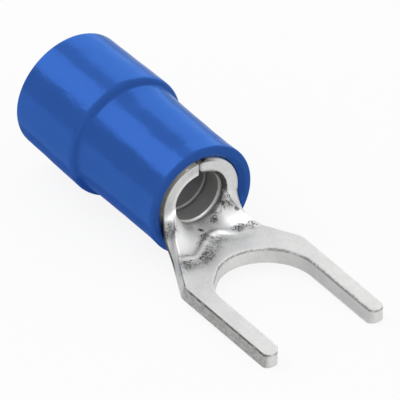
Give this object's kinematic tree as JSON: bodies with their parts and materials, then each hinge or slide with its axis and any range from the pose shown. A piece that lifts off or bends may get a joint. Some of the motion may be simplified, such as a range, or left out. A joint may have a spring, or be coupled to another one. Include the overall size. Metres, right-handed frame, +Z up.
{
  "type": "insulated fork terminal",
  "caption": "Crimp fork terminal: a flat forked tongue rising through a trough into a rolled barrel, held in a stepped insulating sleeve with a wider rear bell.",
  "frame": {"origin": "centre of the stud seat's arc, on the underside of the tongue", "axes": "+X from the barrel towards the prong tips, +Y across the prongs, +Z up from the underside of the tongue"},
  "size_m": [0.0172, 0.0056, 0.0052],
  "materials": {
    "tinned_copper": "dull bright tin plate, slightly mottled, with grey handling marks by the folds",
    "blue_sleeve": "smooth satin-gloss blue vinyl"
  },
  "bodies": {
    "root": {"metal_fork": "tinned_copper", "insulating_sleeve": "blue_sleeve"}
  },
  "joints": []
}
